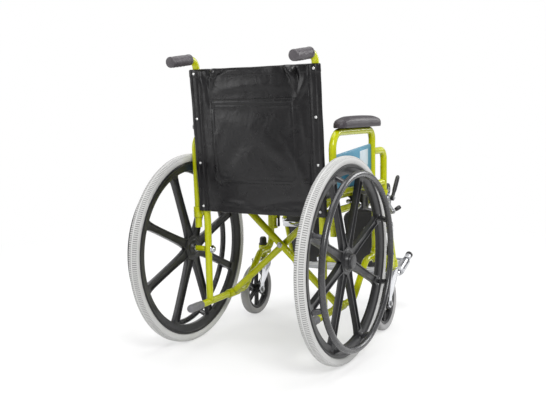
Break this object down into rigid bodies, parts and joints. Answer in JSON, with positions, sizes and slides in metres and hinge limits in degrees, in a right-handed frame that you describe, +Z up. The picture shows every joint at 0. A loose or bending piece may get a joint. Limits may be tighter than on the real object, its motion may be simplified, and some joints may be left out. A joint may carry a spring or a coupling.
{
  "type": "folding wheelchair",
  "caption": "Folding self-propelled wheelchair with desk armrests, moulded spoked wheels, casters, wheel locks and swing-away elevating legrests with calf pads.",
  "frame": {"origin": "on the floor under the centre of the chair's bounding box", "axes": "+Z up, the chair faces -Y, +X is the seated person's left"},
  "size_m": [0.65, 1.0538, 0.9089],
  "materials": {
    "lime_enamel": "glossy enamel on steel tube",
    "ribbed_black_grip": "moulded matt grip",
    "grey_plastic": "matt",
    "grey_tyre": "light grey solid tyre",
    "black_nylon": "moulded, faint grain",
    "plated_steel": "zinc plated",
    "caster_tyre_rubber": "solid grey tyre",
    "chrome_steel": "bright chrome plate",
    "black_plastic": "moulded",
    "black_pad": "satin skinned foam",
    "teal_panel": "smooth sheet",
    "grey_footplate": "silver grey paint, dark lower edge",
    "calf_vinyl": "matt coated cloth with piping",
    "black_vinyl": "grained upholstery vinyl"
  },
  "bodies": {
    "left_side": {"side_frame_l": "lime_enamel", "grip_l": "ribbed_black_grip", "rail_plug_l": "grey_plastic", "seat_saddle_l": "black_plastic", "axle_bolt_l": "plated_steel", "caster_cap_l": "black_plastic", "lock_base_l": "chrome_steel", "back_sling": "black_vinyl"},
    "front_member": {"front_cross_member": "lime_enamel", "cross_bolt": "plated_steel"},
    "rear_member": {"rear_cross_member": "lime_enamel", "seat_sling": "black_vinyl"},
    "right_side": {"side_frame_r": "lime_enamel", "grip_r": "ribbed_black_grip", "rail_plug_r": "grey_plastic", "seat_saddle_r": "black_plastic", "axle_bolt_r": "plated_steel", "caster_cap_r": "black_plastic", "lock_base_r": "chrome_steel"},
    "left_wheel": {"tyre_l": "grey_tyre", "mag_wheel_l": "black_nylon", "handrim_l": "black_nylon"},
    "left_caster_fork": {"caster_fork_l": "chrome_steel"},
    "left_caster_wheel": {"caster_tyre_l": "caster_tyre_rubber", "caster_core_l": "black_nylon"},
    "left_armrest": {"armrest_frame_l": "lime_enamel", "arm_pad_l": "black_pad", "side_panel_l": "teal_panel"},
    "left_lock_lever": {"lock_lever_l": "black_plastic"},
    "left_lock_shoe": {"lock_shoe_l": "plated_steel"},
    "left_hanger": {"hanger_l": "lime_enamel", "knee_bracket_l": "black_plastic"},
    "left_hanger_latch": {"hanger_latch_l": "black_plastic"},
    "left_leg_release": {"leg_release_l": "black_plastic"},
    "left_leg": {"leg_tube_l": "lime_enamel"},
    "left_extension": {"leg_extension_l": "chrome_steel"},
    "left_footplate": {"footplate_l": "grey_footplate"},
    "left_calf_rest": {"calf_pad_l": "calf_vinyl", "calf_bracket_l": "chrome_steel"},
    "right_wheel": {"tyre_r": "grey_tyre", "mag_wheel_r": "black_nylon", "handrim_r": "black_nylon"},
    "right_caster_fork": {"caster_fork_r": "chrome_steel"},
    "right_caster_wheel": {"caster_tyre_r": "caster_tyre_rubber", "caster_core_r": "black_nylon"},
    "right_armrest": {"armrest_frame_r": "lime_enamel", "arm_pad_r": "black_pad", "side_panel_r": "teal_panel"},
    "right_lock_lever": {"lock_lever_r": "black_plastic"},
    "right_lock_shoe": {"lock_shoe_r": "plated_steel"},
    "right_hanger": {"hanger_r": "lime_enamel", "knee_bracket_r": "black_plastic"},
    "right_hanger_latch": {"hanger_latch_r": "black_plastic"},
    "right_leg_release": {"leg_release_r": "black_plastic"},
    "right_leg": {"leg_tube_r": "lime_enamel"},
    "right_extension": {"leg_extension_r": "chrome_steel"},
    "right_footplate": {"footplate_r": "grey_footplate"},
    "right_calf_rest": {"calf_pad_r": "calf_vinyl", "calf_bracket_r": "chrome_steel"}
  },
  "joints": [
    {"name": "fold", "type": "hinge", "parent": "left_side", "child": "front_member", "pos_m": [0.202, 0.09072, 0.133], "axis": [0, 1, 0], "range_deg": [0, 37.5], "deforming": ["seat_sling", "back_sling"]},
    {"name": "cross_pivot", "type": "hinge", "parent": "front_member", "child": "rear_member", "pos_m": [0, 0.10332, 0.31368], "axis": [0, 1, 0], "range_deg": [-75, 0]},
    {"name": "right_side_pivot", "type": "hinge", "parent": "rear_member", "child": "right_side", "pos_m": [-0.202, 0.11592, 0.133], "axis": [0, 1, 0], "range_deg": [0, 37.5]},
    {"name": "left_wheel_spin", "type": "hinge", "parent": "left_side", "child": "left_wheel", "pos_m": [0.27, 0.22392, 0.303], "axis": [1, 0, 0], "continuous": true},
    {"name": "left_caster_swivel", "type": "hinge", "parent": "left_side", "child": "left_caster_fork", "pos_m": [0.247, -0.19608, 0.22], "axis": [0, 0, 1], "continuous": true},
    {"name": "left_caster_spin", "type": "hinge", "parent": "left_caster_fork", "child": "left_caster_wheel", "pos_m": [0.247, -0.14008, 0.092], "axis": [1, 0, 0], "continuous": true},
    {"name": "left_armrest_lift", "type": "slide", "parent": "left_side", "child": "left_armrest", "axis": [0, 0, 1], "range_m": [0, 0.12]},
    {"name": "left_lock_lever_swing", "type": "hinge", "parent": "left_side", "child": "left_lock_lever", "pos_m": [0.293, -0.10008, 0.452], "axis": [-1, 0, 0], "range_deg": [0, 50]},
    {"name": "left_lock_shoe_swing", "type": "hinge", "parent": "left_side", "child": "left_lock_shoe", "pos_m": [0.293, -0.10408, 0.408], "axis": [-1, 0, 0], "range_deg": [0, 9]},
    {"name": "left_hanger_swing", "type": "hinge", "parent": "left_side", "child": "left_hanger", "pos_m": [0.206, -0.20658, 0.36], "axis": [0, 0, 1], "range_deg": [0, 72]},
    {"name": "left_hanger_latch_pull", "type": "hinge", "parent": "left_hanger", "child": "left_hanger_latch", "pos_m": [0.1855, -0.20658, 0.352], "axis": [-1, 0, 0], "range_deg": [0, 18], "stiffness_Nm_per_rad": 0.3},
    {"name": "left_leg_release_press", "type": "hinge", "parent": "left_hanger", "child": "left_leg_release", "pos_m": [0.22085, -0.22143, 0.372], "axis": [0.7071, -0.7071, 0], "range_deg": [0, 18], "stiffness_Nm_per_rad": 0.3},
    {"name": "left_leg_raise", "type": "hinge", "parent": "left_hanger", "child": "left_leg", "pos_m": [0.206, -0.25208, 0.463], "axis": [-1, 0, 0], "range_deg": [0, 65]},
    {"name": "left_leg_length", "type": "slide", "parent": "left_leg", "child": "left_extension", "axis": [0, -0.3469, -0.9379], "range_m": [-0.015, 0.08]},
    {"name": "left_footplate_flip", "type": "hinge", "parent": "left_extension", "child": "left_footplate", "pos_m": [0.206, -0.37421, 0.13286], "axis": [0, -0.9379, 0.3469], "range_deg": [0, 90]},
    {"name": "left_calf_rest_swing", "type": "hinge", "parent": "left_leg", "child": "left_calf_rest", "pos_m": [0.206, -0.30412, 0.32232], "axis": [0, -0.3469, -0.9379], "range_deg": [-90, 45]},
    {"name": "right_wheel_spin", "type": "hinge", "parent": "right_side", "child": "right_wheel", "pos_m": [-0.27, 0.22392, 0.303], "axis": [1, 0, 0], "continuous": true},
    {"name": "right_caster_swivel", "type": "hinge", "parent": "right_side", "child": "right_caster_fork", "pos_m": [-0.247, -0.19608, 0.22], "axis": [0, 0, 1], "continuous": true},
    {"name": "right_caster_spin", "type": "hinge", "parent": "right_caster_fork", "child": "right_caster_wheel", "pos_m": [-0.247, -0.14008, 0.092], "axis": [1, 0, 0], "continuous": true},
    {"name": "right_armrest_lift", "type": "slide", "parent": "right_side", "child": "right_armrest", "axis": [0, 0, 1], "range_m": [0, 0.12]},
    {"name": "right_lock_lever_swing", "type": "hinge", "parent": "right_side", "child": "right_lock_lever", "pos_m": [-0.293, -0.10008, 0.452], "axis": [-1, 0, 0], "range_deg": [0, 50]},
    {"name": "right_lock_shoe_swing", "type": "hinge", "parent": "right_side", "child": "right_lock_shoe", "pos_m": [-0.293, -0.10408, 0.408], "axis": [-1, 0, 0], "range_deg": [0, 9]},
    {"name": "right_hanger_swing", "type": "hinge", "parent": "right_side", "child": "right_hanger", "pos_m": [-0.206, -0.20658, 0.36], "axis": [0, 0, -1], "range_deg": [0, 72]},
    {"name": "right_hanger_latch_pull", "type": "hinge", "parent": "right_hanger", "child": "right_hanger_latch", "pos_m": [-0.1855, -0.20658, 0.352], "axis": [-1, 0, 0], "range_deg": [0, 18], "stiffness_Nm_per_rad": 0.3},
    {"name": "right_leg_release_press", "type": "hinge", "parent": "right_hanger", "child": "right_leg_release", "pos_m": [-0.22085, -0.22143, 0.372], "axis": [0.7071, 0.7071, 0], "range_deg": [0, 18], "stiffness_Nm_per_rad": 0.3},
    {"name": "right_leg_raise", "type": "hinge", "parent": "right_hanger", "child": "right_leg", "pos_m": [-0.206, -0.25208, 0.463], "axis": [-1, 0, 0], "range_deg": [0, 65]},
    {"name": "right_leg_length", "type": "slide", "parent": "right_leg", "child": "right_extension", "axis": [0, -0.3469, -0.9379], "range_m": [-0.015, 0.08]},
    {"name": "right_footplate_flip", "type": "hinge", "parent": "right_extension", "child": "right_footplate", "pos_m": [-0.206, -0.37421, 0.13286], "axis": [0, 0.9379, -0.3469], "range_deg": [0, 90]},
    {"name": "right_calf_rest_swing", "type": "hinge", "parent": "right_leg", "child": "right_calf_rest", "pos_m": [-0.206, -0.30412, 0.32232], "axis": [0, 0.3469, 0.9379], "range_deg": [-90, 45]}
  ],
  "couplings": [
    {"joint": "cross_pivot", "follows": "fold", "ratio": -2},
    {"joint": "right_side_pivot", "follows": "fold", "ratio": 1},
    {"joint": "left_lock_shoe_swing", "follows": "left_lock_lever_swing", "ratio": 0.18},
    {"joint": "left_hanger_swing", "follows": "fold", "ratio": 1.92},
    {"joint": "right_lock_shoe_swing", "follows": "right_lock_lever_swing", "ratio": 0.18},
    {"joint": "right_hanger_swing", "follows": "fold", "ratio": 1.92}
  ]
}
